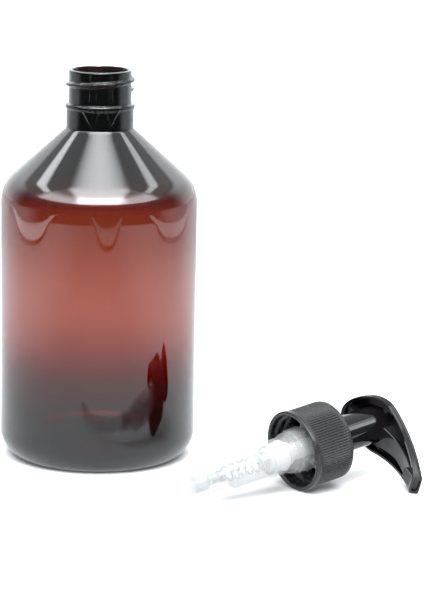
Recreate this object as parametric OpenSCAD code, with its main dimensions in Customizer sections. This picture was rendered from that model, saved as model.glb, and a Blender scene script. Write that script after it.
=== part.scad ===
// Pump oil bottle: an open bottle with its dispenser pump lying beside it.
// Origin: centre of the bottle's foot ring, on the surface that everything stands on. +Z is up the bottle.

/* [Bottle] */
// Bottle's height to the rim of its mouth
bottle_h = 155.8; // [148:0.1:164]
// Bottle's body diameter
bottle_d = 78; // [76:0.5:79]
// Wall of the body
bottle_wall = 0.8; // [0.7:0.1:1.2]
// Radius of the heel between body and base
heel_r = 11; // [9:0.5:12]
// Rounding from shoulder to body
shoulder_r = 14; // [12:1:15]
// Mouth's inside diameter
mouth_d = 21.8; // [21.6:0.1:22]

/* [Neck finish] */
// Outside of the neck under the thread
neck_d = 24.9; // [24.7:0.05:25]
// Outside of the neck thread
thread_d = 27.4; // [27.2:0.05:27.5]
// Rise of the thread in one turn
thread_pitch = 4.23; // [4.23:0.01:4.23]
// Turns of the neck thread
thread_turns = 1.3; // [1:0.1:1.5]

/* [Collar] */
// Collar's outside diameter at its lip
collar_d = 31.8; // [31.4:0.1:32.2]
// Collar's height
collar_h = 18.5; // [18.3:0.1:18.7]
// Grip ribs around the collar
rib_count = 90; // [60:2:120]
// Depth of a grip rib
rib_depth = 0.35; // [0.2:0.05:0.45]

/* [Pump] */
// Housing's bore, in which the piston slides
bore_d = 12.4; // [12.4:0.1:12.6]
// Housing's outside diameter over the cylinder
housing_d = 14.3; // [14.2:0.05:14.6]
// Dip tube's outside diameter
tube_d = 7.2; // [7:0.1:7.3]
// Dip tube's wall
tube_wall = 0.7; // [0.6:0.05:0.8]
// Reach of the dip tube below the collar's lip
tube_reach = 136; // [120:1:137]
// Thickness of the spring wire
wire_d = 0.75; // [0.7:0.01:0.8]
// Open coils of the spring
spring_coils = 6; // [5:1:7]
// Diameter of the inlet ball
ball_d = 4.4; // [4.2:0.1:4.5]

/* [Head] */
// Reach of the spout from the pump's axis
spout_reach = 34; // [32:0.5:35]
// Half width of the head at its thumb pad
pad_w = 12.9; // [12:0.1:13.5]
// Height of the head's side wall
side_h = 3.2; // [2.8:0.1:3.6]
// Height of the side wall at the spout's tip
tip_side_h = 2.6; // [2.4:0.1:2.8]
// Thickness of the head's shell
shell_t = 1.5; // [1.3:0.1:1.6]
// Diameter of the skirt that runs in the chaplet
skirt_d = 14.5; // [14.5:0.05:14.5]

/* [Placing] */
// Where the pump is drawn
pump_place = "beside"; // [beside, on_neck]
// Lying pump: centre of the collar's lip along X
lie_x = 30.3; // [20:0.1:60]
// Lying pump: centre of the collar's lip along Y
lie_y = -89.4; // [-120:0.1:-60]
// Lying pump: slope of its axis
lie_tilt = 7.9; // [7:0.1:8.5]
// Turn of the spout about the pump's axis
spout_turn = -61; // [-63:0.1:-61]

/* [Hidden] */
$fn = 96;
bottle_r = bottle_d / 2;
mouth_r = mouth_d / 2;
neck_r = neck_d / 2;
lower_neck_r = 13.4;
neck_foot_z = 132.7;
cone_slope = 41.9;
bead_z = 141.6;
bead_r = 13.85;
foot_in_r = 24.5;
thread_start = -46;
thread_z = 147.7;

collar_r = collar_d / 2;
collar_top_r = collar_r - 0.5;
collar_root_r = 14.1;
collar_crest_r = 12.95;
roof_h = 16.1;
hole_r = 9.75;
seal_h = 13.2;
gasket_t = 1;
flange_t = 1.6;
flange_r = 12.5;
flange_h = seal_h + gasket_t;
upper_r = 8.7;
upper_in_r = 7.8;
step_h = -3.4;
housing_r = housing_d / 2;
bore_r = bore_d / 2;
shoulder_h = -30.6;
socket_r = 4.6;
socket_h = -48.6;
seat_h = -40.4;
tube_r = tube_d / 2;
tube_in_r = tube_r - tube_wall;
tube_top_h = -42;

skirt_r = skirt_d / 2;
skirt_in_r = skirt_r - 1.2;
skirt_h = 12;
stem_r = 3.4;
stem_in_r = 2;
stem_low_h = -10.5;
stem_top_h = 41.3;
core_h = -13;
core_t = 1;
piston_gap = 0.05;
spring_low_h = -36.5;
spring_top_h = core_h - 0.02;
spring_r = 3.1;
spring_low_r = 1.8;
wire_r = wire_d / 2;
ball_r = ball_d / 2;
ball_seat_r = 1.7;

crown = 1.7;
tip_w = 4;
duct_w = 3.5;
passage_w = 2.3;
arch_e = 6;
arch_h = 41.3;
arch_back = 0.025;
arch_front = 0.01;

// ---- placing ----

// The pump's own frame: Z runs up its axis from the collar's lip to the head.
module placed() {
  if (pump_place == "beside")
    translate([lie_x, lie_y, collar_r * cos(lie_tilt)])
      rotate([0, 90 - lie_tilt, 0])
        children();
  else
    translate([0, 0, bottle_h - seal_h])
      rotate([0, 0, thread_start + 280])
        children();
}

// ---- shared shapes ----

function arc(cx, cy, r, a0, a1, n) =
  [for (i = [0 : n]) let (a = a0 + (a1 - a0) * i / n) [cx + r * cos(a), cy + r * sin(a)]];

// A ring of profile points is swept along a helix, flattened towards base_r at both ends.
module helix_ridge(profile, base_r, pitch, start, turns, fade, step) {
  n = ceil(turns * 360 / step);
  m = len(profile);
  pts = [for (i = [0 : n]) let (
      a = turns * 360 * i / n,
      s = max(0.06, min(1, a / fade, (turns * 360 - a) / fade))
    ) for (p = profile) let (r = base_r + (p[0] - base_r) * s)
      [r * cos(start + a), r * sin(start + a), p[1] * (0.5 + 0.5 * s) + pitch * a / 360]];
  sides = [for (i = [0 : n - 1]) for (j = [0 : m - 1]) let (k = (j + 1) % m)
      each [[i * m + j, i * m + k, (i + 1) * m + k], [i * m + j, (i + 1) * m + k, (i + 1) * m + j]]];
  low = [for (j = [1 : m - 2]) [0, j + 1, j]];
  top = [for (j = [1 : m - 2]) [n * m, n * m + j, n * m + j + 1]];
  polyhedron(points = pts, faces = concat(sides, low, top), convexity = 6);
}

// ---- bottle ----

function cone_z(r) = neck_foot_z - (r - lower_neck_r) * tan(cone_slope);

// Outer or inner line of the bottle from the neck's foot down to the base, set in by t.
function body_line(t) = let (
    c = cone_slope,
    rr = shoulder_r - t,
    // centre of the rounding that meets the cone and the body
    cr = bottle_r - shoulder_r,
    k = shoulder_r / cos(c),
    cz = cone_z(cr) - k,
    hr = heel_r - t
  ) concat(
    arc(cr, cz, rr, 90 - c, 0, 8),
    arc(bottle_r - heel_r, heel_r, hr, 0, -90, 10)
  );

module bottle() {
  t = bottle_wall;
  outer = concat(
    [[mouth_r + 0.35, bottle_h], [neck_r - 0.3, bottle_h], [neck_r, bottle_h - 0.35]],
    [[neck_r, bead_z + 0.95], [bead_r - 0.25, bead_z + 0.6], [bead_r, bead_z + 0.25],
     [bead_r, bead_z - 0.25], [bead_r - 0.35, bead_z - 0.6], [lower_neck_r, bead_z - 0.9]],
    [[lower_neck_r, neck_foot_z + 0.45], [lower_neck_r + 0.15, neck_foot_z + 0.12],
     [lower_neck_r + 0.55, cone_z(lower_neck_r + 0.55)]],
    body_line(0),
    [[foot_in_r, 0], [foot_in_r - 3, 0.9], [foot_in_r - 9, 2.2], [8, 2.9], [0, 3.1]]
  );
  // the inner line runs from the base's centre up to the mouth
  up = concat(
    [[0, 3.1 + t + 0.4], [8, 2.9 + t + 0.4], [foot_in_r - 9, 2.2 + t + 0.2],
     [foot_in_r - 3, 0.9 + t + 0.1], [foot_in_r, t]],
    [for (i = [len(body_line(t)) - 1 : -1 : 0]) body_line(t)[i]],
    [[mouth_r + 0.9, cone_z(mouth_r + 0.9) - t / cos(cone_slope)],
     [mouth_r, cone_z(mouth_r + 0.9) - t / cos(cone_slope) + 1.1],
     [mouth_r, bottle_h - 0.35]]
  );
  color([0.62, 0.2, 0.09, 0.55])
    union() {
      rotate_extrude()
        polygon(concat(outer, up));
      translate([0, 0, thread_z])
        helix_ridge(
          [[neck_r - 0.3, -1.4], [neck_r + 0.45, -1.1], [thread_d / 2 - 0.2, -0.6],
           [thread_d / 2, -0.2], [thread_d / 2, 0.2], [thread_d / 2 - 0.2, 0.6],
           [neck_r + 0.45, 1.1], [neck_r - 0.3, 1.4]],
          neck_r - 0.3, thread_pitch, thread_start, thread_turns, 18, 8);
    }
}

// ---- collar ----

module collar_body() {
  color([0.05, 0.05, 0.06])
    union() {
      difference() {
        union() {
          // lip, body under the ribs, and rounded top
          rotate_extrude()
            polygon([[hole_r, 0], [collar_r - 0.35, 0], [collar_r, 0.35], [collar_r, 1.6],
                     [collar_r - 0.3, 1.9], [collar_top_r - rib_depth, collar_h - 2.2],
                     [collar_top_r - 0.1, collar_h - 1.6], [collar_top_r - 0.45, collar_h - 0.75],
                     [collar_top_r - 1.1, collar_h - 0.2], [collar_top_r - 1.9, collar_h],
                     [hole_r, collar_h]]);
          // grip ribs
          translate([0, 0, 1.7])
            linear_extrude(height = collar_h - 3.6)
              polygon([for (i = [0 : 2 * rib_count - 1])
                let (a = 180 * i / rib_count, r = collar_top_r + 0.12 - (i % 2) * rib_depth)
                  [r * cos(a), r * sin(a)]]);
        }
        // room for the neck
        rotate_extrude()
          polygon([[0, -1], [collar_root_r + 0.5, -1], [collar_root_r + 0.5, 0], [collar_root_r, 0.6],
                   [collar_root_r, roof_h - 0.5], [collar_root_r - 0.5, roof_h], [0, roof_h]]);
        // hole for the chaplet
        translate([0, 0, roof_h - 1])
          cylinder(r = hole_r, h = 6);
      }
      // inside thread
      translate([0, 0, 3.1])
        helix_ridge(
          [[collar_root_r + 0.25, 1.25], [collar_root_r - 0.5, 0.8], [collar_crest_r + 0.12, 0.4],
           [collar_crest_r, 0.12], [collar_crest_r, -0.12], [collar_crest_r + 0.12, -0.4],
           [collar_root_r - 0.5, -0.8], [collar_root_r + 0.25, -1.25]],
          collar_root_r + 0.25, thread_pitch, 90, 1.5, 18, 8);
    }
}

module collar() {
  placed() collar_body();
}

// ---- pump, fixed pieces ----

module chaplet() {
  color([0.06, 0.06, 0.07])
    placed()
      rotate_extrude()
        polygon([[skirt_r + 0.1, 18.2], [skirt_r + 0.1, 20.2], [skirt_r + 0.5, 20.6],
                 [10.4, 20.5], [11, 20.1], [11.2, 19.5], [11.2, 18.75], [9.5, 18.75],
                 [9.5, 16], [upper_r + 0.05, 16], [upper_r + 0.05, 16.8], [upper_r + 0.3, 17.05],
                 [upper_r + 0.3, 17.55], [upper_r + 0.05, 17.8], [upper_r + 0.05, 18.2]]);
}

module gasket() {
  color([0.93, 0.93, 0.92])
    placed()
      translate([0, 0, seal_h])
        difference() {
          cylinder(r = 12.4, h = gasket_t - 0.02);
          translate([0, 0, -1])
            cylinder(r = upper_r + 0.05, h = gasket_t + 2);
        }
}

module housing() {
  color([0.93, 0.95, 0.95, 0.55])
    placed()
      difference() {
        rotate_extrude()
          polygon([[0, socket_h], [socket_r - 0.2, socket_h], [socket_r, socket_h + 0.3],
                   [socket_r + 0.1, -37.6], [socket_r + 0.4, -34], [housing_r - 1.2, shoulder_h - 0.6],
                   [housing_r - 0.35, shoulder_h], [housing_r, shoulder_h + 0.9],
                   [housing_r, step_h - 0.2], [housing_r + 0.6, step_h], [housing_r + 0.85, step_h + 0.5],
                   [upper_r - 0.45, step_h + 2.6], [upper_r - 0.1, step_h + 3.6], [upper_r, step_h + 4.6],
                   [upper_r, flange_h], [flange_r, flange_h], [flange_r, flange_h + flange_t - 0.2],
                   [flange_r - 0.2, flange_h + flange_t], [upper_r, flange_h + flange_t],
                   [upper_r, 17.1], [upper_r + 0.2, 17.25], [upper_r + 0.2, 17.4],
                   [upper_r - 0.1, 18.1], [0, 18.1]]);
        // socket of the dip tube
        translate([0, 0, socket_h - 1])
          cylinder(r = tube_r + 0.02, h = tube_top_h - socket_h + 1);
        // bore under the ball
        translate([0, 0, tube_top_h - 1])
          cylinder(r = ball_seat_r, h = 4);
        // ball seat, ball room and the seat of the spring
        rotate_extrude()
          polygon([[0, seat_h], [ball_seat_r, seat_h], [ball_r + 0.35, seat_h + 1.2],
                   [ball_r + 0.35, spring_low_h - 0.02], [spring_low_r + wire_r + 0.35, spring_low_h - 0.02],
                   [spring_low_r + wire_r + 0.75, -33.5], [spring_r + wire_r + 0.6, -31.6],
                   [bore_r - 0.6, shoulder_h + 0.2], [bore_r, shoulder_h + 1],
                   [bore_r, step_h + 2.7], [upper_in_r, step_h + 4.1], [upper_in_r, 19], [0, 19]]);
        // vent hole under the flange
        translate([0, 0, 5.4])
          rotate([0, 90, 16])
            cylinder(r = 0.5, h = 12);
      }
}

// Straight in its socket, then bowed with the coil it was cut from.
module dip_tube() {
  start_h = socket_h + 0.1;
  start_z = collar_r * cos(lie_tilt) + start_h * sin(lie_tilt);
  bow_r = (start_z - tube_r) / (1 - cos(lie_tilt));
  sweep = (tube_reach + start_h) / bow_r * 180 / PI;
  color([0.9, 0.93, 0.94, 0.45])
    placed()
      union() {
        translate([0, 0, start_h])
          difference() {
            cylinder(r = tube_r, h = tube_top_h - start_h - 0.02);
            translate([0, 0, -1])
              cylinder(r = tube_in_r, h = tube_top_h - start_h + 2);
          }
        translate([-bow_r, 0, start_h])
          rotate([90, 0, 0])
            mirror([0, 1, 0])
              rotate_extrude(angle = sweep)
                translate([bow_r, 0])
                  difference() {
                    circle(r = tube_r);
                    circle(r = tube_in_r);
                  }
      }
}

// ---- pump, moving pieces ----

module stem() {
  color([0.9, 0.91, 0.9])
    placed()
      rotate_extrude()
        polygon([[stem_in_r, stem_low_h], [stem_r - 0.2, stem_low_h], [stem_r, stem_low_h + 0.3],
                 [stem_r, -4], [4.6, -3.6], [4.6, -2.6], [stem_r, -2], [stem_r, stem_top_h - 0.5],
                 [stem_r - 0.4, stem_top_h], [stem_in_r, stem_top_h]]);
}

module piston() {
  pr = bore_r - piston_gap;
  low = core_h + core_t + 0.01;
  color([0.85, 0.9, 0.92])
    placed()
      rotate_extrude()
        polygon([[stem_r + 0.05, low], [4.6, low], [4.9, low + 1.4], [pr - 0.9, low + 0.5],
                 [pr - 0.15, low - 0.6], [pr, low - 0.1], [pr - 0.5, low + 2], [pr - 0.7, low + 3.2],
                 [pr - 0.5, low + 4.4], [pr, low + 6.3], [pr - 0.15, low + 6.6], [pr - 0.8, low + 6.4],
                 [4.7, low + 5], [4.3, low + 6.2], [stem_r + 0.05, low + 6.2]]);
}

// Plug under the stem: a flange that closes the ports, a fluted stub in the stem and a spring boss.
module piston_core() {
  color([0.88, 0.9, 0.9])
    placed()
      union() {
        translate([0, 0, core_h])
          cylinder(r = 4.7, h = core_t);
        translate([0, 0, core_h - 1.2])
          cylinder(r = spring_r - wire_r - 0.15, h = 1.3);
        for (a = [0, 90])
          rotate([0, 0, a])
            translate([-stem_in_r + 0.08, -0.5, core_h + core_t - 0.1])
              cube([2 * stem_in_r - 0.16, 1, 7]);
      }
}

// Close narrow coils at the foot, open coils above and one closed coil under the plug.
module spring() {
  low_turns = 3;
  open_turns = spring_coils;
  top_turns = 1.5;
  total = low_turns + open_turns + top_turns;
  close = wire_d * 1.12;
  z0 = spring_low_h + wire_r;
  z3 = spring_top_h - wire_r;
  open_rise = (z3 - z0 - close * (low_turns + top_turns)) / open_turns;
  steps = 20;
  sides = 8;
  n = ceil(total * steps);
  function rise(t) = t < low_turns ? z0 + close * t
    : t < low_turns + open_turns ? z0 + close * low_turns + open_rise * (t - low_turns)
    : z3 - close * (total - t);
  function coil_r(t) = t < 2.2 ? spring_low_r
    : t < 4 ? spring_low_r + (spring_r - spring_low_r) * (t - 2.2) / 1.8
    : spring_r;
  pts = [for (i = [0 : n]) let (t = total * i / n, r = coil_r(t), z = rise(t))
    for (j = [0 : sides - 1]) let (b = 360 * j / sides)
      [(r + wire_r * cos(b)) * cos(360 * t), (r + wire_r * cos(b)) * sin(360 * t), z + wire_r * sin(b)]];
  skin = [for (i = [0 : n - 1]) for (j = [0 : sides - 1]) let (k = (j + 1) % sides)
    each [[i * sides + j, i * sides + k, (i + 1) * sides + k],
          [i * sides + j, (i + 1) * sides + k, (i + 1) * sides + j]]];
  low = [for (j = [1 : sides - 2]) [0, j + 1, j]];
  top = [for (j = [1 : sides - 2]) [n * sides, n * sides + j, n * sides + j + 1]];
  color([0.72, 0.73, 0.75])
    placed()
      polyhedron(points = pts, faces = concat(skin, low, top), convexity = 10);
}

module inlet_ball() {
  // the ball rests where its sphere meets the edge of the seat's bore
  slope = atan((ball_r + 0.35 - ball_seat_r) / 1.2);
  color([0.55, 0.72, 0.62])
    placed()
      translate([0, 0, seat_h + (ball_r - ball_seat_r * cos(slope)) / sin(slope) + 0.02])
        sphere(r = ball_r);
}

// ---- head ----

// Rim height of the head along the spout direction x.
function rim(x) = arch_h - (x < arch_e ? arch_back : arch_front) * pow(x - arch_e, 2);
function half_w(x) = tip_w + (12.35 / 12.9 * pad_w - tip_w) * pow((spout_reach - x) / (spout_reach - 4.5), 1.12);
function lean(x) = 0.78 * max(0, min(1, (x - 14) / (spout_reach - 14)));
function wall_h(x) = side_h + (tip_side_h - side_h) * lean(x) / 0.78;

function head_stations() = concat(
  [for (a = [6, 17, 30, 44, 58, 72, 86, 98]) [1 - pad_w * cos(a), pad_w * sin(a), a > 20 ? 1 : 0]],
  [for (x = [6.2, 9.4, 12.6, 15.8, 19, 22.2, 25.4, 28.2]) [x, half_w(x), 1]],
  [for (x = [30.2, 32.2, spout_reach]) [x, half_w(x), 0]]
);

// One closed line across the head: over the crown outside, back under it inside.
function head_section(s) = let (
    x = s[0], w = s[1], hollow = s[2],
    base = rim(x),
    c = crown * w / pad_w,
    sh = wall_h(x),
    wi = max(w - shell_t, w * 0.3),
    outer = [[-w, 0], [-w, sh * 0.72], [-w * 0.975, sh * 0.93], [-w * 0.91, sh + c * 0.12],
             [-w * 0.72, sh + c * 0.5], [-w * 0.4, sh + c * 0.86], [0, sh + c],
             [w * 0.4, sh + c * 0.86], [w * 0.72, sh + c * 0.5], [w * 0.91, sh + c * 0.12],
             [w * 0.975, sh * 0.93], [w, sh * 0.72], [w, 0]],
    d = max(0.05, hollow * (sh + c * 0.85 - shell_t)),
    inner = [[wi, 0], [wi, d * 0.62], [wi * 0.93, d * 0.86], [wi * 0.6, d * 0.98], [0, d * 1.04],
             [-wi * 0.6, d * 0.98], [-wi * 0.93, d * 0.86], [-wi, d * 0.62], [-wi, 0]]
  ) [for (p = concat(outer, inner)) [x + lean(x) * p[1], p[0], base + p[1]]];

module head_shell() {
  st = head_stations();
  secs = [for (s = st) head_section(s)];
  m = len(secs[0]);
  n = len(st);
  pts = [for (s = secs) for (p = s) p];
  skin = [for (i = [0 : n - 2]) for (j = [0 : m - 1]) let (k = (j + 1) % m)
    each [[i * m + j, i * m + k, (i + 1) * m + k], [i * m + j, (i + 1) * m + k, (i + 1) * m + j]]];
  // both ends are solid, and close as fans from the crown
  back = [for (j = [1 : m - 2]) [6, (7 + j) % m, (6 + j) % m]];
  front = [for (j = [1 : m - 2]) [(n - 1) * m + 6, (n - 1) * m + (6 + j) % m, (n - 1) * m + (7 + j) % m]];
  polyhedron(points = pts, faces = concat(skin, back, front), convexity = 8);
}

// A point inside the roof's thickness over x, where the skirt and the duct end.
function roof_point(x) = let (p = wall_h(x) + 0.45 * crown * min(1, half_w(max(x, 4.5)) / pad_w))
  [x + lean(x) * p, rim(x) + p];

module actuator_head() {
  tip_lo = [spout_reach, rim(spout_reach)];
  color([0.04, 0.04, 0.05])
    placed()
      rotate([0, 0, spout_turn])
        difference() {
          union() {
            head_shell();
            // skirt, cut off inside the roof
            intersection() {
              translate([0, 0, skirt_h])
                cylinder(r = skirt_r, h = 42);
              translate([0, 10, 0])
                rotate([90, 0, 0])
                  linear_extrude(height = 20)
                    polygon(concat([[9.5, 0], [-9.5, 0]], [for (x = [-9.5 : 1.9 : 9.5]) roof_point(x)]));
            }
            // spout duct
            translate([0, duct_w, 0])
              rotate([90, 0, 0])
                linear_extrude(height = 2 * duct_w)
                  polygon(concat(
                    [for (x = [27 : -3.6 : 5.4]) roof_point(x)],
                    [[5.4, 39.6], [9, 40], [13, 40], [17.5, 39.4], [25, 37.3], [tip_lo[0] - 1, tip_lo[1] + 0.1],
                     [tip_lo[0] - 1, tip_lo[1] + 2]]));
          }
          // hollow of the skirt, round the stem's socket
          difference() {
            translate([0, 0, skirt_h - 1])
              cylinder(r = skirt_in_r, h = 40.4 - skirt_h + 1);
            translate([0, 0, 34])
              cylinder(r = 4.6, h = 10);
          }
          // stem socket
          translate([0, 0, 20])
            cylinder(r = stem_r + 0.05, h = stem_top_h - 20 + 0.1);
          // way for the liquid
          translate([0, passage_w, 0])
            rotate([90, 0, 0])
              linear_extrude(height = 2 * passage_w)
                polygon([[-2.2, 41.2], [8, 41.1], [13, 41], [17.5, 40.4], [25, 38.3],
                         [tip_lo[0] + 0.35, tip_lo[1] + 0.55], [tip_lo[0] + 2.5, tip_lo[1] - 1.1],
                         [tip_lo[0] + 4, tip_lo[1] + 0.9], [tip_lo[0] + 1.6, tip_lo[1] + 2.1],
                         [25, 40.4], [17.5, 42.4], [13, 43], [8, 43.1], [-2.2, 42.9]]);
        }
}

bottle();
collar();
chaplet();
gasket();
housing();
stem();
piston();
piston_core();
spring();
inlet_ball();
dip_tube();
actuator_head();
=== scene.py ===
"""Pump oil bottle: an open amber bottle, and its dispenser pump lying beside it.

Lengths in the outlines are millimetres and become metres in the meshes.
The pump's pieces are drawn in the pump's own frame, whose Z runs up its axis from the collar's lip.
"""
import bpy, bmesh, math
from mathutils import Matrix, Vector

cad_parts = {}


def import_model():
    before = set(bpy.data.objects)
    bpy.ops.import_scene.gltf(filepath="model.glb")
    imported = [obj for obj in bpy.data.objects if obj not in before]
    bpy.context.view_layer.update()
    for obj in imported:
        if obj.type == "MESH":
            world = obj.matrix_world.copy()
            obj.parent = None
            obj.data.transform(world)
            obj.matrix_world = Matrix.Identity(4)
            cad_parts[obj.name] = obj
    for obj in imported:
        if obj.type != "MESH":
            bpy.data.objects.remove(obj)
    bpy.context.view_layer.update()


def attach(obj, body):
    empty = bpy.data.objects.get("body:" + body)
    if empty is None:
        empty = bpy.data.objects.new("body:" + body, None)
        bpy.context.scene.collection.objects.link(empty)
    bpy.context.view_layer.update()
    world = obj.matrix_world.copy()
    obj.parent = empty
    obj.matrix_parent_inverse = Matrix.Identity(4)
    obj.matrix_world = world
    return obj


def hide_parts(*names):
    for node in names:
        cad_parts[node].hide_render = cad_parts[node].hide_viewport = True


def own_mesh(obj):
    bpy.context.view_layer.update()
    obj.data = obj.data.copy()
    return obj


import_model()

MM = 0.001
TURN = 2 * math.pi
SHARP = math.radians(38)

# ---- where the pump lies ----

TILT = math.radians(7.9)
COLLAR_R = 15.9
PUMP_AXIS = Vector((math.cos(TILT), 0, math.sin(TILT)))
PUMP_SIDE = Vector((math.sin(TILT), 0, -math.cos(TILT)))
PUMP_FOOT = Vector((30.3, -89.4, COLLAR_R * math.cos(TILT)))
SPOUT_TURN = math.radians(-61)

STANDING = Matrix.Identity(4)
LYING = Matrix.Translation(PUMP_FOOT) @ Matrix(
    (PUMP_SIDE, (0, 1, 0), PUMP_AXIS)
).transposed().to_4x4()
HEAD = LYING @ Matrix.Rotation(SPOUT_TURN, 4, "Z")


# ---- outlines and meshes ----


def smooth(x, low, high):
    """0 below low, 1 above high and an S between them; low may be the larger one."""
    t = min(1, max(0, (x - low) / (high - low)))
    return t * t * (3 - 2 * t)


def rounded(points, closed=True):
    """An outline whose points (x, y, radius) have that radius as a fillet; (x, y) stays sharp."""
    out, n = [], len(points)
    for i, p in enumerate(points):
        here = Vector(p[:2])
        if len(p) < 3 or (not closed and i in (0, n - 1)):
            out.append((here.x, here.y))
            continue
        back = Vector(points[i - 1][:2]) - here
        on = Vector(points[(i + 1) % n][:2]) - here
        half = back.angle(on) / 2
        cut = min(p[2] / math.tan(half), 0.49 * back.length, 0.49 * on.length)
        radius = cut * math.tan(half)
        centre = here + (back.normalized() + on.normalized()).normalized() * (radius / math.sin(half))
        a, b = here + back.normalized() * cut - centre, here + on.normalized() * cut - centre
        swing = math.atan2(a.x * b.y - a.y * b.x, a.dot(b))
        steps = max(2, math.ceil(abs(swing) / math.radians(14)))
        for k in range(steps + 1):
            v = centre + Matrix.Rotation(swing * k / steps, 2) @ a
            out.append((v.x, v.y))
    return out


def spread(outline, gap):
    """The outline with points added where two are further apart than gap."""
    out = []
    for a, b in zip(outline, outline[1:] + outline[:1]):
        n = max(1, math.ceil(math.dist(a, b) / gap))
        out += [(a[0] + (b[0] - a[0]) * k / n, a[1] + (b[1] - a[1]) * k / n) for k in range(n)]
    return out


def rows(low, high, gap):
    """Evenly spaced values from low to high, about gap apart."""
    n = max(1, round(abs(high - low) / gap))
    return [low + (high - low) * i / n for i in range(n + 1)]


def finish_mesh(name, bm, place):
    """The mesh as an object whose place is in its vertices, with smooth faces and crisp edges."""
    bmesh.ops.remove_doubles(bm, verts=bm.verts, dist=1e-4)
    bmesh.ops.recalc_face_normals(bm, faces=bm.faces)
    mesh = bpy.data.meshes.new(name)
    bm.to_mesh(mesh)
    bm.free()
    mesh.transform(Matrix.Scale(MM, 4) @ place)
    for polygon in mesh.polygons:
        polygon.use_smooth = True
    mesh.set_sharp_from_angle(angle=SHARP)
    obj = bpy.data.objects.new(name, mesh)
    bpy.context.scene.collection.objects.link(obj)
    return obj


def skin(bm, rings, around=True, along=False):
    """Quads between neighbouring rings of vertices; a ring of one vertex closes as a fan."""
    pairs = list(zip(rings, rings[1:])) + ([(rings[-1], rings[0])] if along else [])
    for a, b in pairs:
        n = max(len(a), len(b))
        for i in range(n if around else n - 1):
            j = (i + 1) % n
            if len(a) == 1 and len(b) == 1:
                continue
            if len(a) == 1:
                bm.faces.new((a[0], b[j], b[i]))
            elif len(b) == 1:
                bm.faces.new((a[i], a[j], b[0]))
            else:
                bm.faces.new((a[i], a[j], b[j], b[i]))


def lathe(name, outline, place, steps=96, shift=None, extra=None):
    """The closed outline of (radius, height) turned round Z. shift(radius, height, angle) moves a point."""
    bm = bmesh.new()
    rings = []
    for r, h in outline:
        if r < 1e-3:
            rings.append([bm.verts.new((0, 0, h))])
            continue
        ring = []
        for i in range(steps):
            a = TURN * i / steps
            rr, hh = shift(r, h, a) if shift else (r, h)
            ring.append(bm.verts.new((rr * math.cos(a), rr * math.sin(a), hh)))
        rings.append(ring)
    skin(bm, rings, along=len(rings[0]) > 1 or len(rings[-1]) > 1)
    if extra:
        extra(bm)
    return finish_mesh(name, bm, place)


def sweep(bm, sections):
    """Sections of equally many points joined into a closed skin, with flat ends."""
    rings = [[bm.verts.new(p) for p in s] for s in sections]
    skin(bm, rings)
    bm.faces.new(rings[0])
    bm.faces.new(rings[-1])


def through(points, per):
    """A smooth line through the points, with per steps between two of them."""
    out = []
    n = len(points)
    for i in range(n - 1):
        p0, p1, p2, p3 = (points[max(0, min(n - 1, i + k))] for k in (-1, 0, 1, 2))
        for s in range(per):
            t = s / per
            out.append(tuple(
                0.5 * (2 * b + (c - a) * t + (2 * a - 5 * b + 4 * c - d) * t * t
                       + (3 * b - a - 3 * c + d) * t ** 3)
                for a, b, c, d in zip(p0, p1, p2, p3)))
    return out + [tuple(points[-1])]


# ---- materials ----


class Nodes:
    """Short names for the nodes of a material or the world."""

    def __init__(self, tree):
        self.tree = tree
        tree.nodes.clear()

    def add(self, kind, **settings):
        node = self.tree.nodes.new(kind)
        for key, value in settings.items():
            setattr(node, key, value)
        return node

    def put(self, socket, value):
        if isinstance(value, bpy.types.NodeSocket):
            self.tree.links.new(value, socket)
        elif isinstance(value, (tuple, list)) and len(socket.default_value) == 4 and len(value) == 3:
            socket.default_value = (*value, 1)
        else:
            socket.default_value = value

    def math(self, operation, a, b=0.0):
        node = self.add("ShaderNodeMath", operation=operation)
        self.put(node.inputs[0], a)
        self.put(node.inputs[1], b)
        return node.outputs[0]

    def ramp(self, value, low, high, to_low=0.0, to_high=1.0, kind="SMOOTHSTEP"):
        """to_low where the value is low, to_high where it is high, and a soft step between them."""
        node = self.add("ShaderNodeMapRange", interpolation_type=kind)
        for key, v in (("Value", value), ("From Min", low), ("From Max", high),
                       ("To Min", to_low), ("To Max", to_high)):
            self.put(node.inputs[key], v)
        return node.outputs["Result"]

    def dot(self, vector, direction):
        node = self.add("ShaderNodeVectorMath", operation="DOT_PRODUCT")
        self.put(node.inputs[0], vector)
        self.put(node.inputs[1], tuple(direction))
        return node.outputs["Value"]

    def noise(self, scale, detail):
        """Noise in the object's own coordinates, scale in features a metre."""
        node = self.add("ShaderNodeTexNoise")
        self.put(node.inputs["Vector"], self.add("ShaderNodeTexCoord").outputs["Object"])
        self.put(node.inputs["Scale"], scale)
        self.put(node.inputs["Detail"], detail)
        return node.outputs[0]

    def bump(self, height, strength, distance):
        node = self.add("ShaderNodeBump")
        self.put(node.inputs["Height"], height)
        self.put(node.inputs["Strength"], strength)
        self.put(node.inputs["Distance"], distance)
        return node.outputs[0]

    def scaled(self, colour, by):
        node = self.add("ShaderNodeVectorMath", operation="SCALE")
        self.put(node.inputs[0], colour)
        self.put(node.inputs["Scale"], by)
        return node.outputs[0]

    def blend(self, factor, a, b):
        node = self.add("ShaderNodeMix", data_type="RGBA")
        self.put(node.inputs["Factor"], factor)
        self.put(node.inputs[6], a)
        self.put(node.inputs[7], b)
        return node.outputs[2]


CLOUD_SCALE = 60


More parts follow.
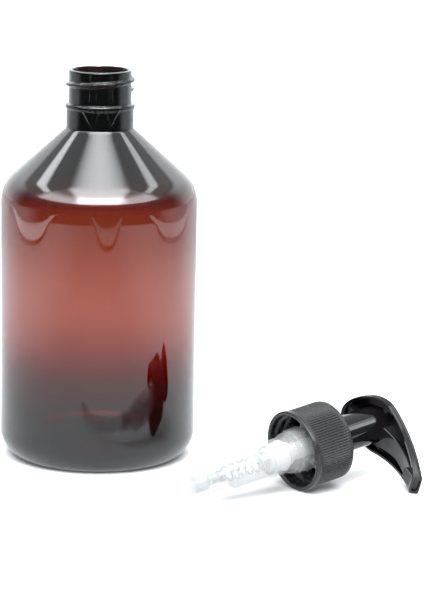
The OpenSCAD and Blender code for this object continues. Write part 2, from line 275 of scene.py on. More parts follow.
def material(name, base, rough, grain, ior, sockets=(), absorb=None):
    """A Principled plastic or metal. base is one colour, or two that vary over the surface, and rough
    the two ends of its roughness. grain is its fine relief: features a metre, strength and depth in mm.
    absorb is the colour and density of a see-through body."""
    m = bpy.data.materials.new(name)
    m.use_nodes = True
    g = Nodes(m.node_tree)
    out = g.add("ShaderNodeOutputMaterial")
    p = g.add("ShaderNodeBsdfPrincipled")
    g.put(out.inputs["Surface"], p.outputs[0])
    if isinstance(base[0], tuple):
        clouds = g.ramp(g.noise(CLOUD_SCALE, 4), 0.35, 0.65)
        g.put(p.inputs["Base Color"], g.blend(clouds, base[0], base[1]))
    else:
        g.put(p.inputs["Base Color"], base)
    g.put(p.inputs["Roughness"], g.ramp(g.noise(grain[0] * 0.3, 3), 0.3, 0.7, rough[0], rough[1]))
    g.put(p.inputs["Normal"], g.bump(g.noise(grain[0], 2), grain[1], grain[2] * MM))
    p.inputs["IOR"].default_value = ior
    for key, value in sockets:
        g.put(p.inputs[key], value)
    if absorb:
        volume = g.add("ShaderNodeVolumeAbsorption")
        g.put(volume.inputs["Color"], absorb[0])
        g.put(volume.inputs["Density"], absorb[1])
        g.put(out.inputs["Volume"], volume.outputs[0])
    return m


AMBER = material("amber_pet", (1.0, 1.0, 1.0), (0.004, 0.018), (90, 0.02, 0.04), ior=1.575,
                 sockets=[("Transmission Weight", 1.0)],
                 absorb=((0.675, 0.245, 0.015), 8400.0))
COLLAR = material("black_collar", ((0.009, 0.009, 0.010), (0.014, 0.014, 0.016)), (0.24, 0.34),
                  (2600, 0.08, 0.02), ior=1.42)
BLACK = material("black_gloss", ((0.004, 0.0035, 0.004), (0.007, 0.006, 0.007)), (0.05, 0.10),
                 (500, 0.06, 0.015), ior=1.47)
NATURAL = material("natural_plastic", ((0.36, 0.37, 0.372), (0.40, 0.407, 0.407)), (0.16, 0.26),
                   (500, 0.03, 0.01), ior=1.42, sockets=[("Alpha", 0.34)])
TUBE = material("clear_tube", ((0.38, 0.405, 0.425), (0.41, 0.43, 0.445)), (0.08, 0.14),
                (300, 0.03, 0.01), ior=1.42, sockets=[("Alpha", 0.16)])
WHITE = material("white_plastic", ((0.80, 0.83, 0.84), (0.88, 0.90, 0.90)), (0.28, 0.40),
                 (900, 0.12, 0.02), ior=1.49,
                 sockets=[("Subsurface Weight", 0.25), ("Subsurface Scale", 0.001)])
FOAM = material("soft_white", ((0.86, 0.86, 0.84), (0.93, 0.93, 0.92)), (0.75, 0.9),
                (2200, 0.6, 0.08), ior=1.45)
STEEL = material("spring_steel", ((0.60, 0.61, 0.62), (0.72, 0.73, 0.74)), (0.16, 0.30),
                 (1500, 0.15, 0.01), ior=2.5, sockets=[("Metallic", 1.0)])
BALL = material("ball_glass", ((0.62, 0.84, 0.72), (0.70, 0.90, 0.80)), (0.005, 0.03),
                (400, 0.03, 0.01), ior=1.52, sockets=[("Transmission Weight", 0.9)])


def own(obj, body, node, look):
    """obj stands for one CAD node: it rides that body and takes that slot's finish."""
    obj.data.materials.append(look)
    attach(obj, body)
    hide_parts(node)
    return obj


# ---- bottle ----

BOTTLE_H, BODY_R, NECK_R, MOUTH_R = 155.8, 39.0, 12.45, 10.9
HEEL_R, SHOULDER_R = 11.0, 14.0
LOWER_NECK_R, NECK_FOOT, BEAD_Z, BEAD_R = 13.4, 132.7, 141.6, 13.85
SLOPE = math.radians(41.9)
THREAD_Z, THREAD_PITCH, THREAD_START, THREAD_TURNS, THREAD_H, THREAD_FADE = 147.7, 4.23, -46, 1.3, 1.25, 26
THREAD_LOW, THREAD_HIGH = 144.4, 155.0
FINE = 0.16  # gap between the rings that carry a thread or a hole


def cone_z(r):
    return NECK_FOOT - (r - LOWER_NECK_R) * math.tan(SLOPE)


def wall_at(z):
    """Blown wall: thin in the body, thick towards the neck and the foot."""
    return 0.272 + 1.2 * smooth(z, 101, 127) + 0.62 * smooth(z, 52, 4) + 0.3 * smooth(z, 12, 1)


def body_chain():
    """Points and outward normals of the outside from the neck's foot to the foot ring."""
    middle = BODY_R - SHOULDER_R
    middle_z = cone_z(middle) - SHOULDER_R / math.cos(SLOPE)

    def arc(r, z, radius, angles):
        return [(r + radius * math.cos(a), z + radius * math.sin(a), math.cos(a), math.sin(a))
                for a in angles]

    chain = [(r, cone_z(r), math.sin(SLOPE), math.cos(SLOPE)) for r in rows(14.6, middle + 8.8, 1.0)]
    chain += arc(middle, middle_z, SHOULDER_R, rows(math.pi / 2 - SLOPE, 0, math.radians(2.5)))
    chain += [(BODY_R, z, 1, 0) for z in rows(middle_z, HEEL_R, 4)[1:-1]]
    chain += arc(BODY_R - HEEL_R, HEEL_R, HEEL_R, rows(0, -math.pi / 2, math.radians(5)))
    return chain


def thread(angle, z, start, start_z, turns, foot, crest):
    """How much of a thread's ridge stands there, from 0 to 1. It starts at the angle start, in degrees,
    at the height start_z, and is foot wide each way at its foot and crest at its top."""
    best, total = 0, turns * 360
    a = (math.degrees(angle) - start) % 360
    while a <= total:
        ends = smooth(min(a, total - a), 0, THREAD_FADE)
        best = max(best, ends * smooth(abs(z - start_z - THREAD_PITCH * a / 360), foot, crest))
        a += 360
    return best


def bottle():
    chain = body_chain()
    lip = 0.45
    outside = rounded([(MOUTH_R, BOTTLE_H, lip), (NECK_R, BOTTLE_H, 0.5), (NECK_R, THREAD_HIGH)], False)[1:]
    outside = [(MOUTH_R + lip, BOTTLE_H)] + outside
    outside += [(NECK_R, z) for z in rows(THREAD_HIGH - 0.1, THREAD_LOW, FINE)]
    outside += rounded([(NECK_R, THREAD_LOW - 0.1), (NECK_R, BEAD_Z + 0.9, 0.35),
                        (BEAD_R, BEAD_Z + 0.75, 0.5),
                        (BEAD_R, BEAD_Z - 0.75, 0.5), (LOWER_NECK_R, BEAD_Z - 0.9, 0.3),
                        (LOWER_NECK_R, NECK_FOOT, 0.9), (14.5, cone_z(14.5))], False)
    outside += [(r, z) for r, z, _, _ in chain]
    outside += [(24.6, 0.02), (24.0, 0.25), (22.5, 0.75), (19, 1.5), (15, 2.15), (10, 2.7), (5, 2.98),
                (2.6, 3.05), (2.3, 2.75), (1.8, 2.6), (0, 2.6)]
    inside = [(r - nr * wall_at(z), z - nz * wall_at(z)) for r, z, nr, nz in chain]
    inside = [p for p in inside if p[0] > MOUTH_R + 1.2 or p[1] < 100]
    floor = [(24.2, 1.25), (22.5, 1.7), (19, 2.7), (15, 3.5), (10, 4.3), (5, 4.8), (2, 5.0), (0, 5.0)]
    up = floor[::-1] + inside[::-1]
    neck = rounded([up[-1], (MOUTH_R + 0.1, cone_z(MOUTH_R + 0.6) - 1.8, 2.2), (MOUTH_R, 140)], False)[1:]
    mouth = [(MOUTH_R, 148), (MOUTH_R, BOTTLE_H - lip), (MOUTH_R + 0.13, BOTTLE_H - 0.13)]
    line = outside + up + neck + mouth

    def ridge(r, z, angle):
        if THREAD_LOW <= z <= THREAD_HIGH and r > NECK_R - 0.01:
            return r + THREAD_H * thread(angle, z, THREAD_START, THREAD_Z, THREAD_TURNS, 1.2, 0.34), z
        return r, z

    return lathe("bottle_blown", line, STANDING, 256, ridge)


own(bottle(), "bottle", "bottle", AMBER)


# ---- collar, chaplet and gasket ----

RIBS, RIB_DEPTH, COLLAR_H, COLLAR_TOP_R, ROOT_R, CREST_R = 90, 0.34, 18.5, 15.4, 14.1, 12.95


def collar():
    outer = rounded([(ROOT_R + 0.5, 0, 0.15), (COLLAR_R, 0, 0.45), (COLLAR_R, 1.7, 0.4),
                     (COLLAR_TOP_R + 0.14, 2.1)], False)[1:]
    outer += [(COLLAR_TOP_R + 0.12, h) for h in rows(2.25, 16.6, 0.9)]
    outer += rounded([(COLLAR_TOP_R + 0.1, 16.7), (COLLAR_TOP_R + 0.02, COLLAR_H, 1.7),
                      (9.75, COLLAR_H, 0.25), (9.75, 17.0)], False)
    inner = rounded([(9.75, 16.6), (9.75, 16.1, 0.15), (ROOT_R, 16.1, 0.5), (ROOT_R, 15.0)], False)
    inner += [(ROOT_R, h) for h in rows(12.4, 1.4, 0.25)]
    inner += [(ROOT_R, 0.7), (ROOT_R + 0.35, 0.2)]

    def relief(r, h, angle):
        if 2.0 < h < 17.2 and r > COLLAR_TOP_R - 0.3:
            shown = smooth(h, 2.0, 2.5) * smooth(h, 17.1, 16.3)
            return r - RIB_DEPTH * shown * (1 - abs(math.sin(RIBS * angle / 2))), h
        if abs(r - ROOT_R) < 0.01 and 1.2 < h < 12.6:
            return r - (ROOT_R - CREST_R) * thread(angle, h, 90, 3.1, 1.5, 1.25, 0.3), h
        return r, h

    return lathe("collar_ribbed", outer + inner, LYING, RIBS * 6, relief)


own(collar(), "collar", "collar", COLLAR)

own(lathe("chaplet_ring", rounded([
    (7.35, 18.2, 0.1), (7.35, 20.6, 0.4), (10.4, 20.55, 0.3), (11.2, 20.1, 0.5), (11.2, 18.75, 0.12),
    (9.5, 18.75, 0.12), (9.5, 16, 0.2), (8.75, 16, 0.1), (8.75, 16.8), (9.0, 17.05), (9.0, 17.55),
    (8.75, 17.8), (8.75, 18.2)]), LYING, 128), "pump", "chaplet", BLACK)

own(lathe("gasket_foam", rounded([
    (8.75, 13.2, 0.1), (12.4, 13.2, 0.15), (12.4, 14.18, 0.15), (8.75, 14.18, 0.1)]), LYING, 96),
    "pump", "gasket", FOAM)


# ---- housing and what is in it ----

VENT_H, VENT_TURN = 5.4, math.radians(16)


def housing():
    outside = rounded([
        (0, -48.6), (4.4, -48.6), (4.6, -48.3), (4.7, -37.6, 3), (5.0, -34.0, 3), (5.95, -31.2, 0.5),
        (7.15, -29.9, 0.9), (7.15, -3.6, 0.2), (7.75, -3.4, 0.3), (8.0, -2.9, 0.6), (8.1, -1.2, 0.3),
        (8.45, -0.8, 0.3), (8.7, 0.6, 0.8), (8.7, 3.4, 0.2), (8.95, 3.8, 0.2), (8.95, 4.2, 0.2),
        (8.7, 4.5, 0.1),
        *((8.7, h) for h in rows(4.7, 6.3, FINE)), (8.7, 14.2, 0.1),
        (12.5, 14.2, 0.1), (12.5, 15.8, 0.25), (8.7, 15.8, 0.15), (8.7, 17.1), (8.9, 17.3), (8.6, 18.1),
        (7.8, 18.1)], False)[1:]
    inside = rounded([
        (7.8, 18.0), (7.8, 0.7, 0.4), (6.2, -0.7, 0.5), (6.2, -29.6, 0.6), (5.6, -30.4, 0.5),
        (4.08, -31.6, 0.6),
        (2.93, -33.5, 0.6), (2.53, -36.52, 0.1), (2.55, -36.6, 0.1), (2.55, -39.2, 0.2), (1.7, -40.4, 0.1),
        (1.7, -42.0, 0.1), (3.62, -42.0, 0.1), (3.62, -48.6)], False)
    outside[0] = (3.75, -48.6)

    def vent(r, h, angle):
        """The vent hole is a deep pit in the wall."""
        if 4.5 < h < 6.4 and r > 8.6:
            off = math.hypot(h - VENT_H, 8.7 * (angle - VENT_TURN))
            return r - 0.8 * smooth(off, 0.62, 0.42), h
        return r, h

    return lathe("housing_moulded", spread(outside + inside, 2.5), LYING, 256, vent)


own(housing(), "pump", "housing", NATURAL)

own(lathe("stem_tube", rounded([
    (2.0, -10.5, 0.1), (3.3, -10.5, 0.15), (3.4, -10.2), (3.4, -4.0, 0.2), (4.6, -3.6, 0.15),
    (4.6, -2.6, 0.15),
    (3.4, -2.0, 0.2), (3.4, 41.0, 0.1), (3.1, 41.3, 0.1), (2.0, 41.3, 0.1)]), LYING, 96),
    "plunger", "stem", WHITE)

own(lathe("piston_cup", rounded([
    (3.45, -11.99, 0.1), (4.6, -11.99, 0.1), (4.9, -10.6, 0.4), (5.25, -11.45, 0.15), (6.0, -12.55, 0.05),
    (6.15, -12.1, 0.1), (5.65, -10.0, 0.8), (5.45, -8.8, 0.8), (5.65, -7.6, 0.8), (6.15, -5.7, 0.1),
    (6.0, -5.4, 0.05), (5.35, -5.6, 0.2), (4.7, -7.0, 0.3), (4.3, -5.8, 0.1),
    (3.45, -5.8, 0.1)]), LYING, 128),
    "piston", "piston", WHITE)


def flutes(bm):
    """The crossed fins of the plug, which stand in the stem."""
    for turn in (0, math.pi / 2):
        spin = Matrix.Rotation(turn, 3, "Z")
        section = rounded([(-1.9, -0.5, 0.12), (1.9, -0.5, 0.12), (1.9, 0.5, 0.12), (-1.9, 0.5, 0.12)])
        sweep(bm, [[spin @ Vector((x * k, y * k, h)) for x, y in section]
                   for h, k in ((-12.1, 1), (-5.4, 1), (-5.1, 0.85))])


own(lathe("plug_fluted", rounded([
    (0, -14.2), (2.2, -14.2, 0.3), (2.2, -13.0, 0.2), (4.7, -13.0, 0.15), (4.7, -12.0, 0.15), (0, -12.0)],
    False), LYING, 96, extra=flutes), "plunger", "piston_core", WHITE)


SPRING_FOOT, SPRING_TOP, SPRING_PRESSED = -36.5, -13.02, 0.53


def spring():
    """Close narrow coils at the foot, open coils above, and one closed coil at the top."""
    wire, low, open_turns, top, close = 0.375, 3, 6, 1.5, 0.84
    total = low + open_turns + top
    z0, z3 = SPRING_FOOT + wire, SPRING_TOP - wire
    rise = (z3 - z0 - close * (low + top)) / open_turns
    sections = []
    per_turn = 44
    for i in range(int(total * per_turn) + 1):
        t = i / per_turn
        z = z0 + close * t if t < low else z0 + close * low + rise * (t - low)
        z = z3 - close * (total - t) if t > low + open_turns else z
        # the pitch changes gently at both ends of the open coils
        bends = [math.exp(-((t - at) / 0.35) ** 2) for at in (low, low + open_turns)]
        z += 0.06 * (rise - close) * (bends[0] - bends[1])
        r = 1.8 + 1.3 * smooth(t, 2.1, 4.1)
        a = TURN * t
        sections.append([((r + wire * math.cos(b)) * math.cos(a), (r + wire * math.cos(b)) * math.sin(a),
                          z + wire * math.sin(b)) for b in (TURN * k / 12 for k in range(12))])
    bm = bmesh.new()
    sweep(bm, sections)
    return finish_mesh("spring_wound", bm, LYING)


coil = own(spring(), "pump", "spring", STEEL)
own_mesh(coil)

# the ball rests on the cone of its seat
BALL_R, SEAT_R = 2.2, 1.7
seat_slope = math.atan((BALL_R + 0.35 - SEAT_R) / 1.2)
BALL_H = -40.4 + (BALL_R - SEAT_R * math.cos(seat_slope)) / math.sin(seat_slope) + 0.02
ball_line = [(BALL_R * math.sin(a), BALL_H - BALL_R * math.cos(a)) for a in rows(0, math.pi, 0.1)]
own(lathe("ball_inlet", ball_line, LYING, 48), "ball", "inlet_ball", BALL)


# ---- dip tube ----


def dip_tube():
    """Straight in its socket, then on the bow that its coil left in it, down to the floor."""
    r, r_in, top, start, reach = 3.6, 2.9, -42.02, -48.5, 136.0
    start_z = COLLAR_R * math.cos(TILT) + start * math.sin(TILT)
    bow = (start_z - r) / (1 - math.cos(TILT))
    sections = [(Vector((0, 0, h)), 0.0) for h in rows(top, start, 2.2)]
    sections += [(Vector((-bow * (1 - math.cos(a)), 0, start - bow * math.sin(a))), a)
                 for a in rows(0, (reach + start) / bow, 2.0 / bow)[1:]]
    bm = bmesh.new()
    n = 64
    circle = [(math.cos(TURN * k / n), math.sin(TURN * k / n)) for k in range(n)]

    def ring(at, radius):
        spot, a = at
        across = Vector((math.cos(a), 0, -math.sin(a)))
        return [bm.verts.new(spot + across * (radius * c) + Vector((0, radius * s, 0))) for c, s in circle]

    edge = 0.12
    first, last = sections[0], sections[-1]
    rings = [ring(first, r_in + edge), ring(first, r - edge)]
    rings += [ring(s, r) for s in sections]
    rings += [ring(last, r - edge), ring(last, r_in + edge)]
    rings += [ring(s, r_in) for s in sections[::-1]]
    skin(bm, rings, along=True)
    return finish_mesh("dip_tube_bowed", bm, LYING)


own(dip_tube(), "pump", "dip_tube", TUBE)


# ---- head ----

PAD_W, SIDE_H, TIP_SIDE_H, CROWN, REACH, TIP_W = 12.9, 3.2, 2.6, 1.7, 34.0, 4.0
WALL, ROOF, LEAN = 1.0, 1.5, 0.78
PAD_END, PAD_END_W, LEAN_FROM, CAVITY_END = 4.5, 12.35, 14, 28.4
ARCH_E, ARCH_H, ARCH_BACK, ARCH_FRONT = 6, 41.3, 0.025, 0.01
DUCT_W, DUCT_ROUND = 3.5, 0.35
SKIRT_R, SKIRT_BORE, SKIRT_H = 7.25, 6.05, 12.0
IN_ROOF = None  # stands for the height where the skirt ends, inside the roof


def rim(x):
    """Height of the head's lower edge: an arch whose top is at ARCH_E."""
    return ARCH_H - (ARCH_BACK if x < ARCH_E else ARCH_FRONT) * (x - ARCH_E) ** 2


def half_w(x):
    """Half the head's width between the round pad and the tip."""
    return TIP_W + (PAD_END_W - TIP_W) * max(0, (REACH - x) / (REACH - PAD_END)) ** 1.12


def lean(x):
    """How far a section leans forward for each millimetre of height, so that the tip's face slants."""
    return LEAN * max(0, min(1, (x - LEAN_FROM) / (REACH - LEAN_FROM)))


def side_h(x):
    return SIDE_H + (TIP_SIDE_H - SIDE_H) * lean(x) / LEAN


def crown(w):
    return CROWN * w / PAD_W


def under_roof(x):
    """Height of the roof's underside over the rim, in the middle of the head."""
    return side_h(x) + 0.85 * crown(half_w(max(x, PAD_END))) - ROOF


def plan_line(inset):
    """The pad's edge seen from above, from the back to the tip, set in by inset."""
    arc = rows(0, math.radians(94), math.radians(2.6))
    line = [(1 - PAD_W * math.cos(a), PAD_W * math.sin(a)) for a in arc]
    line += [(x, half_w(x)) for x in rows(line[-1][0] + 1.2, REACH, 0.9)]
    if not inset:
        return line
    out = []
    for i, p in enumerate(line):
        a, b = line[max(0, i - 1)], line[min(len(line) - 1, i + 1)]
        along = Vector((b[0] - a[0], b[1] - a[1])).normalized()
        q = (p[0] + along.y * inset, max(0.0, p[1] - along.x * inset))
        if q[0] < CAVITY_END:
            out.append(q)
    out[0] = (out[0][0], 0.0)
    return out


def section(x, w, cavity):
    """One line across the head at x, from one edge to the other: over the crown, or under the roof.
    Outside, it gets squarer towards the tip."""
    c, top = crown(w), side_h(x)
    if cavity:
        d = top + c * 0.85 - ROOF
        half = [(w, 0), (w, d * 0.4), (w * 0.995, d * 0.62), (w * 0.95, d * 0.84), (w * 0.82, d * 0.94),
                (w * 0.6, d * 0.985), (w * 0.3, d * 1.02), (0, d * 1.04)]
    else:
        half = [(w, 0), (w, top * 0.4), (w, top * 0.72), (w * 0.975, top * 0.93),
                (w * 0.91, top + c * 0.12), (w * 0.72, top + c * 0.5), (w * 0.4, top + c * 0.86),
                (0, top + c)]
    fine = through(half, 3)
    if not cavity:
        box = (lean(x) / LEAN) ** 2
        fine = [(y + box * (min(w, y * 1.35) - y), z - box * max(0, z - top * 0.95) * 0.5) for y, z in fine]
    line = [(-y, z) for y, z in fine] + fine[-2::-1]
    return [Vector((x + lean(x) * z, y, rim(x) + z)) for y, z in line]


def tip_face(bm, outline):
    """The spout's end: a flat face round a rectangular opening, and the passage behind it."""
    x0, z0 = REACH, rim(REACH)
    slope = Vector((lean(REACH), 0, 1)).normalized()
    middle = Vector((x0, 0, z0)) + slope * 1.75
    n = len(outline)
    hole_w, hole_h, round_r = 2.9, 1.2, 0.35
    rim_ring = []
    for v in outline:
        rel = v.co - middle
        y, s = rel.y, rel.dot(slope)
        k = min(hole_w / max(abs(y), 1e-6), hole_h / max(abs(s), 1e-6))
        yy, ss = y * k, s * k
        over_y, over_s = abs(yy) - (hole_w - round_r), abs(ss) - (hole_h - round_r)
        if over_y > 0 and over_s > 0:
            length = math.hypot(over_y, over_s)
            yy = math.copysign(hole_w - round_r + over_y / length * round_r, yy)
            ss = math.copysign(hole_h - round_r + over_s / length * round_r, ss)
        rim_ring.append(middle + Vector((0, yy, 0)) + slope * ss)
    back = Vector((-1, 0, 0.12))
    rings = [outline,
             [bm.verts.new(p + (p - middle) * 0.06) for p in rim_ring],
             [bm.verts.new(p + back * 0.15) for p in rim_ring],
             [bm.verts.new(p + back * 3.0) for p in rim_ring],
             [bm.verts.new(p + back * 7.5) for p in rim_ring]]
    skin(bm, rings)
    bm.faces.new(rings[-1])


def head():
    bm = bmesh.new()
    outer = [[bm.verts.new(p) for p in section(x, w, False)] for x, w in plan_line(0)]
    inner = [[bm.verts.new(p) for p in section(x, w, True)] for x, w in plan_line(WALL)]
    skin(bm, outer, around=False)
    skin(bm, inner, around=False)
    bm.faces.new(inner[-1])
    # the rim's edge, on both sides, and the closed underside by the tip
    k = len(inner)
    for side in (0, -1):
        for i in range(k - 1):
            bm.faces.new((outer[i][side], outer[i + 1][side], inner[i + 1][side], inner[i][side]))
    bm.faces.new((outer[k - 1][0], inner[k - 1][0], inner[k - 1][-1], outer[k - 1][-1]))
    for i in range(k - 1, len(outer) - 1):
        bm.faces.new((outer[i][0], outer[i + 1][0], outer[i + 1][-1], outer[i][-1]))
    tip_face(bm, outer[-1])

    def skirt_ring(r, h):
        """A ring of the skirt at that height, or where it ends inside the roof."""
        ring = []
        for a in rows(0, TURN, TURN / 96)[:-1]:
            x = r * math.cos(a)
            z = rim(x) + under_roof(x) + 0.5 if h is IN_ROOF else h
            ring.append(bm.verts.new((x, r * math.sin(a), z)))
        return ring

    foot = rounded([(SKIRT_BORE, SKIRT_H, 0.3), (SKIRT_R, SKIRT_H, 0.35), (SKIRT_R, 22)], False)[1:]
    outside = [(SKIRT_BORE + 0.3, SKIRT_H)] + foot + [(SKIRT_R, 32), (SKIRT_R, IN_ROOF)]
    inside = [(4.6, IN_ROOF), (SKIRT_BORE, 40), (SKIRT_BORE, 30), (SKIRT_BORE, 22),
              (SKIRT_BORE, SKIRT_H + 0.3)]
    skin(bm, [skirt_ring(r, h) for r, h in outside + inside], along=True)

    # spout duct, whose sides end inside the roof
    low = [(5.0, 39.6), (9, 40.0), (13, 40.0), (17.5, 39.4), (21.5, 38.5), (25, 37.3), (29, 35.55),
           (33.4, 33.6)]
    sections = []
    for x, z in through(low, 3):
        top = rim(x) + under_roof(x) + 0.6
        outline = rounded([(-DUCT_W, top), (-DUCT_W, z, DUCT_ROUND), (DUCT_W, z, DUCT_ROUND),
                           (DUCT_W, top)], False)
        sections.append([Vector((x + lean(x) * max(0, h - rim(x)), y, h)) for y, h in outline])
    sweep(bm, sections)

    # socket of the stem
    post = [(3.45, 34.0), (4.6, 34.0), (4.6, 40.5), (3.45, 40.5)]
    skin(bm, [[bm.verts.new((r * math.cos(a), r * math.sin(a), h)) for a in rows(0, TURN, TURN / 64)[:-1]]
              for r, h in post], along=True)
    return finish_mesh("head_spout", bm, HEAD)


own(head(), "head", "actuator_head", BLACK)


# ---- stage: directions and tint ----

VIEW_TURN = math.radians(36.36)
TO_RIGHT = Vector((math.cos(VIEW_TURN), -math.sin(VIEW_TURN), 0))
TO_BACK = Vector((math.sin(VIEW_TURN), math.cos(VIEW_TURN), 0))
UP = Vector((0, 0, 1))
# the studio's light is a little cool
COOL = (("Red", 0.97), ("Green", 1.0), ("Blue", 1.02))


def in_view(side, back, up):
    """A direction or a point given along the camera's level axes, in the model's frame."""
    return TO_RIGHT * side + TO_BACK * back + UP * up


# ---- floor ----

FLOOR_HALF, FLOOR_CELLS, FLOOR_DROP = 6.0, 24, 0.00005
# the paper's colour, and a painted glow of the floor, seen by the camera only, which lightens the shadows
# on it
PAPER, PAPER_PAINTED_GLOW = (0.74, 0.745, 0.75), 0.04
# the part of the floor's painted reflection that is matt and falls off in shadows, and the part that is
# painted glow and doesn't
SHADED, UNSHADED = 0.17, 0.28
# metres from the bottle's axis to the front edge of the painted reflection, past which it is painted dark,
# and the round lobes of that edge:
# each lobe's direction in radians, half width, depth and the painted glow inside it
PAPER_EDGE = 0.602
LOBES = ((-1.46, 0.50, 0.092, 3.6), (0.20, 0.25, 0.088, 1.3), (1.70, 0.53, 0.085, 2.6))


def tinted(g, strength):
    """The cool studio light at that strength."""
    tone = g.add("ShaderNodeCombineColor")
    for key, tint in COOL:
        g.put(tone.inputs[key], g.math("MULTIPLY", strength, tint))
    return tone.outputs[0]


def painted_paper_reflection(g):
    """How bright the paper is in reflections, all of it painted reflection: painted brighter towards the
    sides, as if by the side lamps, and painted dark past its front edge, which has the round lobes with a
    painted glow in them. No lamp lights this pattern; it is painted to give the bottle its reflections."""
    place = g.add("ShaderNodeNewGeometry").outputs["Position"]
    side, back = g.dot(place, TO_RIGHT), g.dot(place, TO_BACK)
    out_from = g.math("SQRT", g.math("ADD", g.math("MULTIPLY", side, side), g.math("MULTIPLY", back, back)))
    turn = g.math("ARCTAN2", side, g.math("MULTIPLY", back, -1.0))
    off_middle = g.math("ABSOLUTE", turn)
    # painted light: brighter towards the sides and dimmer far out, as if lit by the side lamps
    bright = g.ramp(g.math("ABSOLUTE", side), 0.14, 0.42, 2.15, 3.6)
    bright = g.math("MULTIPLY", bright, g.ramp(out_from, 0.28, 0.58, 1.0, 0.5))
    front = g.ramp(off_middle, 1.95, 2.25, 1.0, 0.0)
    # painted shade: dark past the front edge and in the lobes, with a painted glow inside the lobes
    shade, glow = g.ramp(out_from, PAPER_EDGE - 0.01, PAPER_EDGE + 0.01), 0.0
    for middle, width, depth, lit in LOBES:
        off = g.math("DIVIDE", g.math("SUBTRACT", turn, middle), width)
        square = g.math("MULTIPLY", off, off)
        curve = g.math("MULTIPLY", square, g.math("ADD", g.math("MULTIPLY", square, 0.65), 0.35))
        reach = g.math("ADD", g.math("MULTIPLY", curve, depth), PAPER_EDGE - depth)
        past = g.math("SUBTRACT", out_from, reach)
        shade = g.math("MAXIMUM", shade, g.ramp(past, -0.004, 0.006))
        inside = g.math("MULTIPLY", g.ramp(past, 0.012, 0.020), g.ramp(past, 0.085, 0.055))
        glow = g.math("ADD", glow, g.math("MULTIPLY", inside, lit))
    paper = g.math("MULTIPLY", bright, g.math("SUBTRACT", 1.0, g.math("MULTIPLY", shade, front)))
    seen = g.math("ADD", paper, g.math("MULTIPLY", glow, front))
    past_edge = g.ramp(off_middle, 1.15, 1.6, 0.12, 1.3)
    return g.math("MAXIMUM", seen, past_edge)


def lit_surface(g, colour, glow_colour, glow):
    """A matt surface of one colour that also glows a little, which is painted light, since it is no lamp.
    """
    both = g.add("ShaderNodeAddShader")
    matt = g.add("ShaderNodeBsdfDiffuse")
    g.put(matt.inputs["Color"], colour)
    own_light = g.add("ShaderNodeEmission")
    g.put(own_light.inputs["Color"], glow_colour)
    g.put(own_light.inputs["Strength"], glow)
    g.put(both.inputs[0], matt.outputs[0])
    g.put(both.inputs[1], own_light.outputs[0])
    return both.outputs[0]


def floor():
    """Plain pale paper, which glows a little for the camera: a painted light that lightens its shadows. In
    reflections only, it shows a painted reflection: zones of painted light and shade that glow.
    """
    bm = bmesh.new()
    line = rows(-FLOOR_HALF, FLOOR_HALF, 2 * FLOOR_HALF / FLOOR_CELLS)
    skin(bm, [[bm.verts.new((x, y, 0)) for y in line] for x in line], around=False)
    mesh = bpy.data.meshes.new("floor")
    bm.to_mesh(mesh)
    bm.free()
    obj = bpy.data.objects.new("floor", mesh)
    bpy.context.scene.collection.objects.link(obj)
    obj.location.z = -FLOOR_DROP
    m = bpy.data.materials.new("floor_paper_painted_reflection")
    m.use_nodes = True
    g = Nodes(m.node_tree)
    path = g.add("ShaderNodeLightPath")
    # the painted reflection, in the cool tint
    tone = tinted(g, painted_paper_reflection(g))
    # painted light: the floor glows for camera rays only, which lightens its shadows
    camera_glow = g.math("MULTIPLY", path.outputs["Is Camera Ray"], PAPER_PAINTED_GLOW)
    mix = g.add("ShaderNodeMixShader")
    # glossy rays see the painted reflection, matt and glowing; other rays see the plain paper
    g.put(mix.inputs[0], path.outputs["Is Glossy Ray"])
    g.put(mix.inputs[1], lit_surface(g, PAPER, (0.99, 1.0, 1.0), camera_glow))
    g.put(mix.inputs[2], lit_surface(g, g.scaled(tone, SHADED), tone, UNSHADED))
    out = g.add("ShaderNodeOutputMaterial")
    g.put(out.inputs["Surface"], mix.outputs[0])
    mesh.materials.append(m)


# ---- lights ----

# each lamp's azimuth (0 is the camera's side) and elevation, half width and half height, the softness of
# its edges and of its lower edge, all in degrees, its brightness, and how much that grows downwards
LAMPS = ((3, 62, 23, 28.5, 4.5, 1.2, 8.0, 5.0),
         (-108, 49, 15, 3.6, 1.6, 1.6, 7.0, 0.0),
         (110, 52, 15, 3.2, 1.6, 1.6, 5.0, 0.0))
ROOM_LOW, ROOM_RISE, BACKDROP, WHITE_BEHIND = 0.2, 0.9, 1.65, 1.05


def soft_box(g, direction, azimuth, elevation, half_side, half_up, edge, low_edge, brightness, low_gain):
    """A soft-edged lamp in the world."""
    az, el = math.radians(azimuth), math.radians(elevation)
    to = in_view(math.sin(az) * math.cos(el), -math.cos(az) * math.cos(el), math.sin(el))
    side = in_view(math.cos(az), math.sin(az), 0)
    up = to.cross(side) if to.cross(side).z > 0 else side.cross(to)
    ahead = g.dot(direction, to)
    mask = g.ramp(ahead, 0.05, 0.1)
    far = g.math("MAXIMUM", ahead, 0.05)
    for axis, half, soft in ((side, half_side, edge), (-side, half_side, edge), (up, half_up, edge),
                             (-up, half_up, low_edge)):
        off = g.math("DIVIDE", g.dot(direction, axis), far)
        mask = g.math("MULTIPLY", mask, g.ramp(off, math.tan(math.radians(half - soft)),
                                               math.tan(math.radians(half + soft)), 1.0, 0.0))
    gain = g.ramp(off, -0.5, 0.5, brightness, brightness + low_gain, "LINEAR")
    return g.math("MULTIPLY", mask, gain)


def strip_lamp(g, up, azimuth):
    """A long low strip before the bottle, brighter near its middle, for reflections only."""
    high = g.math("MULTIPLY", g.ramp(up, 0.47, 0.50), g.ramp(up, 0.66, 0.86, 1.0, 0.12))
    wide = g.ramp(g.math("ABSOLUTE", azimuth), 1.3, 1.6, 6.5, 0.0)
    off_middle = g.math("ABSOLUTE", g.math("SUBTRACT", azimuth, 0.09))
    return g.math("MULTIPLY", high, g.math("ADD", wide, g.ramp(off_middle, 0.55, 0.7, 6.0, 0.0)))


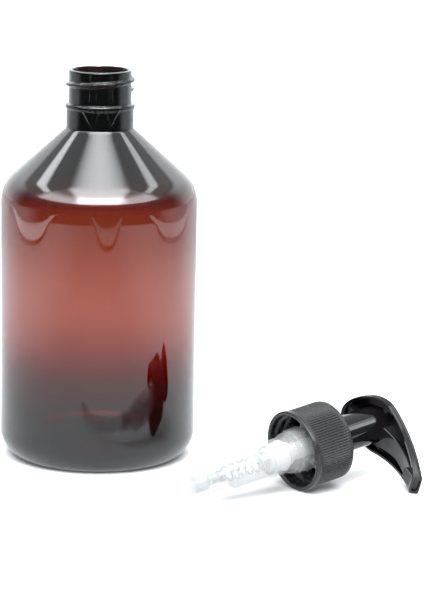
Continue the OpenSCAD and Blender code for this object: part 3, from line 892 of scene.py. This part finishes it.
def world():
    """A studio that is dim before the bottle, with a pale backdrop, three lamps and a strip."""
    w = bpy.data.worlds.new("studio")
    bpy.context.scene.world = w
    w.use_nodes = True
    g = Nodes(w.node_tree)
    path = g.add("ShaderNodeLightPath")
    direction = g.add("ShaderNodeTexCoord").outputs["Generated"]
    up = g.dot(direction, UP)
    to_front = g.math("MULTIPLY", g.dot(direction, TO_BACK), -1.0)
    azimuth = g.math("ARCTAN2", g.dot(direction, TO_RIGHT), to_front)
    behind = g.ramp(g.math("ABSOLUTE", azimuth), 1.7, 2.3)
    low = g.ramp(up, math.sin(math.radians(29)), math.sin(math.radians(35)), 1.0, 0.0)
    room = g.math("ADD", ROOM_LOW, g.math("MULTIPLY", g.ramp(up, 0.25, 0.7), ROOM_RISE))
    room = g.math("ADD", room, g.math("MULTIPLY", g.math("MULTIPLY", behind, low), BACKDROP))
    strip = g.math("MULTIPLY", strip_lamp(g, up, azimuth), path.outputs["Is Glossy Ray"])
    room = g.math("ADD", room, strip)
    for lamp in LAMPS:
        room = g.math("ADD", room, soft_box(g, direction, *lamp))
    studio = g.add("ShaderNodeBackground")
    g.put(studio.inputs["Color"], tinted(g, 1.0))
    g.put(studio.inputs["Strength"], room)
    white = g.add("ShaderNodeBackground")
    g.put(white.inputs["Strength"], WHITE_BEHIND)
    mix = g.add("ShaderNodeMixShader")
    g.put(mix.inputs[0], path.outputs["Is Camera Ray"])
    g.put(mix.inputs[1], studio.outputs[0])
    g.put(mix.inputs[2], white.outputs[0])
    out = g.add("ShaderNodeOutputWorld")
    g.put(out.inputs["Surface"], mix.outputs[0])


# ---- camera ----

CAMERA_SPOT = (45.469, -1200.0, 310.547)
CAMERA_PITCH, CAMERA_ROLL = 0.2028, -0.0166
LENS, SENSOR = 260.046, 36


def camera():
    """Looks past the bottle from the front left of the lying pump, a little from above."""
    right = Vector((math.cos(CAMERA_ROLL), 0, -math.sin(CAMERA_ROLL)))
    above = Vector((math.sin(CAMERA_ROLL), 0, math.cos(CAMERA_ROLL)))
    dip = Matrix.Rotation(-CAMERA_PITCH, 3, "X")
    columns = [in_view(*(dip @ v)) for v in (right, above, Vector((0, 1, 0)))]
    columns[2].negate()
    data = bpy.data.cameras.new("camera")
    obj = bpy.data.objects.new("camera", data)
    bpy.context.scene.collection.objects.link(obj)
    spot = in_view(*CAMERA_SPOT) * MM
    obj.matrix_world = Matrix.Translation(spot) @ Matrix(columns).transposed().to_4x4()
    data.sensor_fit = "HORIZONTAL"
    data.sensor_width = SENSOR
    data.lens = LENS
    data.clip_start, data.clip_end = 0.05, 50
    bpy.context.scene.camera = obj


floor()
world()
camera()
bpy.context.scene.view_settings.view_transform = "Standard"
